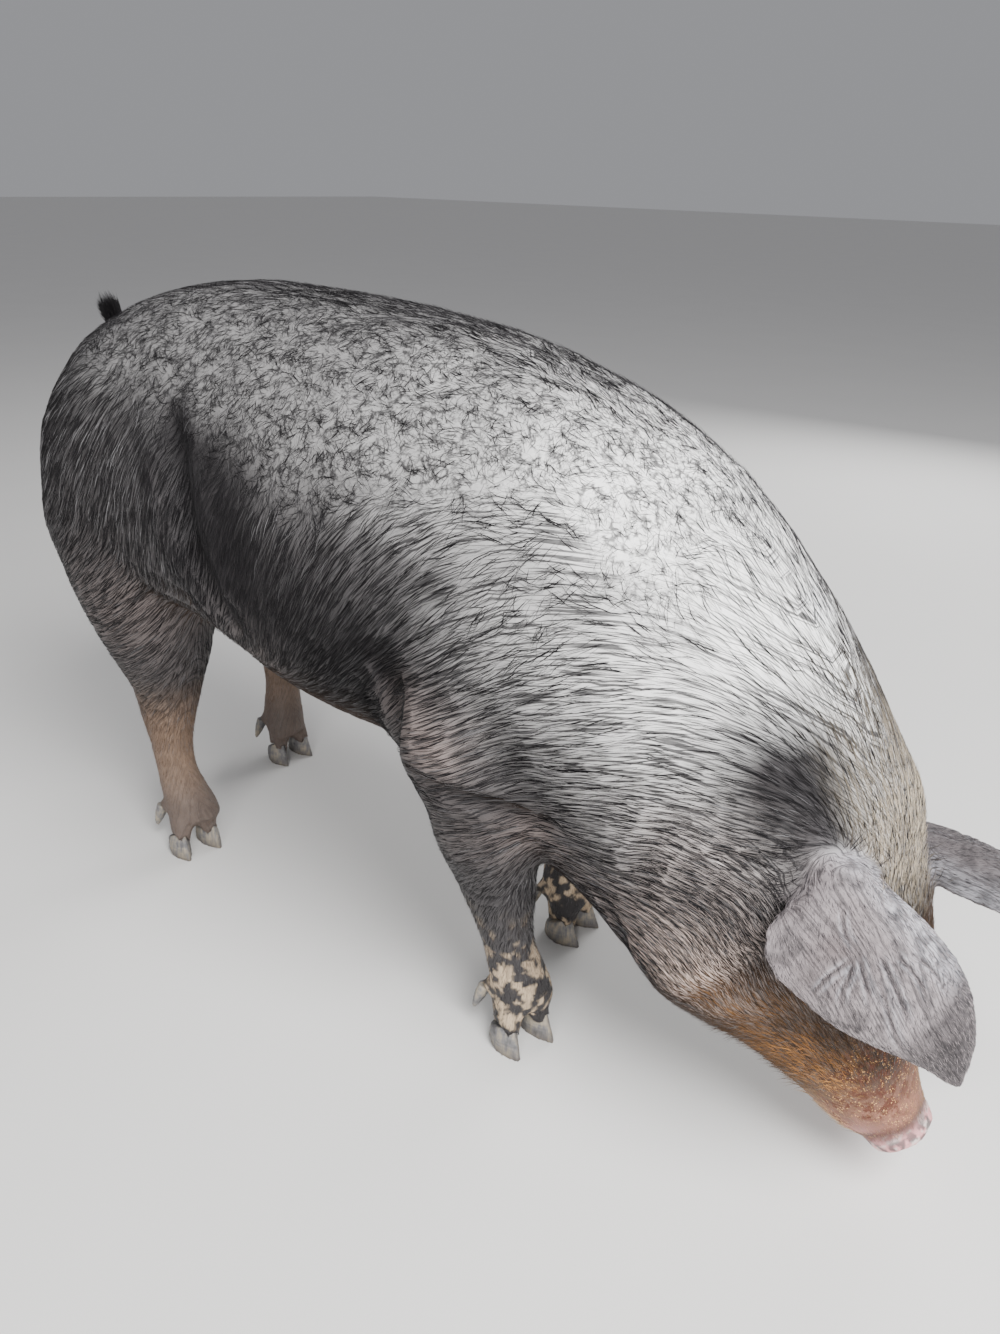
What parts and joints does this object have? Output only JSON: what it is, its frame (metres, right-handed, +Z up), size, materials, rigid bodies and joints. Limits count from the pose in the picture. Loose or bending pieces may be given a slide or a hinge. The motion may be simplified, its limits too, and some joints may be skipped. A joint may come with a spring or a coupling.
{
  "type": "domestic pig",
  "caption": "Life-size standing domestic pig with its head lowered to feed, lop ears, a curled tufted tail and a sparse dark bristly coat.",
  "frame": {"origin": "on the floor under the middle of the pig's box, between its four feet", "axes": "+X forward from tail to snout, +Y the pig's left, +Z up"},
  "size_m": [1.4236, 0.4586, 0.8082],
  "materials": {
    "hide": "slate-grey skin under sparse dark bristles",
    "snout": "bare, slightly moist",
    "hoof": "worn horn",
    "eye": "wet, glossy",
    "bristle": "coarse black hair"
  },
  "bodies": {
    "root": {"torso": "hide", "neck": "hide", "head": "hide", "snout_disc": "snout", "ear_left": "hide", "ear_right": "hide", "eye_left": "eye", "eye_right": "eye", "tail": "hide", "tail_tuft": "bristle", "foreleg_left": "hide", "foreleg_left_hoof_outer": "hoof", "foreleg_left_hoof_inner": "hoof", "foreleg_left_dewclaw_outer": "hoof", "foreleg_left_dewclaw_inner": "hoof", "foreleg_right": "hide", "foreleg_right_hoof_outer": "hoof", "foreleg_right_hoof_inner": "hoof", "foreleg_right_dewclaw_outer": "hoof", "foreleg_right_dewclaw_inner": "hoof", "hindleg_left": "hide", "hindleg_left_hoof_outer": "hoof", "hindleg_left_hoof_inner": "hoof", "hindleg_left_dewclaw_outer": "hoof", "hindleg_left_dewclaw_inner": "hoof", "hindleg_right": "hide", "hindleg_right_hoof_outer": "hoof", "hindleg_right_hoof_inner": "hoof", "hindleg_right_dewclaw_outer": "hoof", "hindleg_right_dewclaw_inner": "hoof"}
  },
  "joints": []
}
